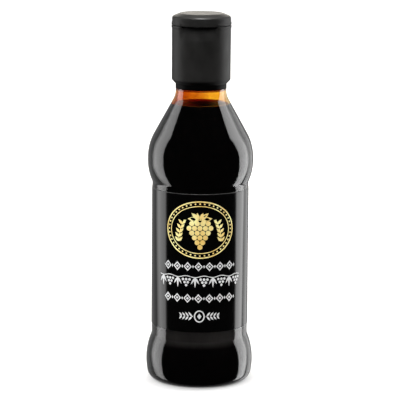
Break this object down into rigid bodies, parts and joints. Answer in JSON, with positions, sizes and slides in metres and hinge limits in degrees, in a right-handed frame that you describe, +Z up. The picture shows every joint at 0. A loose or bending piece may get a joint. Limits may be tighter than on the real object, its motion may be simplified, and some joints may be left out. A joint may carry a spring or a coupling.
{
  "type": "squeeze bottle of balsamic glaze",
  "caption": "Slim clear squeeze bottle with two rounded bulges, wrap label, dark glaze up to its cone and a shut black flip-top cap.",
  "frame": {"origin": "on the floor, under the bottle's axis", "axes": "+Z up along the bottle's axis; -Y is the front, with the label's ornament; the shut cap is turned 5.4 degrees from it, so its thumb recess faces -Y and a little -X, and its hinge +Y and a little +X"},
  "size_m": [0.0538, 0.0538, 0.1867],
  "materials": {
    "clear_plastic": "clear blown plastic, glossy",
    "dark_glaze": "thick glossy syrup, near black",
    "label_film": "black satin-gloss film with a gold and white ornament",
    "black_band": "glossy black",
    "black_cap": "satin black moulded plastic"
  },
  "bodies": {
    "root": {"bottle": "clear_plastic", "glaze": "dark_glaze", "label": "label_film", "neck_band": "black_band", "cap_skirt": "black_cap", "cap_lid": "black_cap", "cap_hinge": "black_cap"}
  },
  "joints": []
}
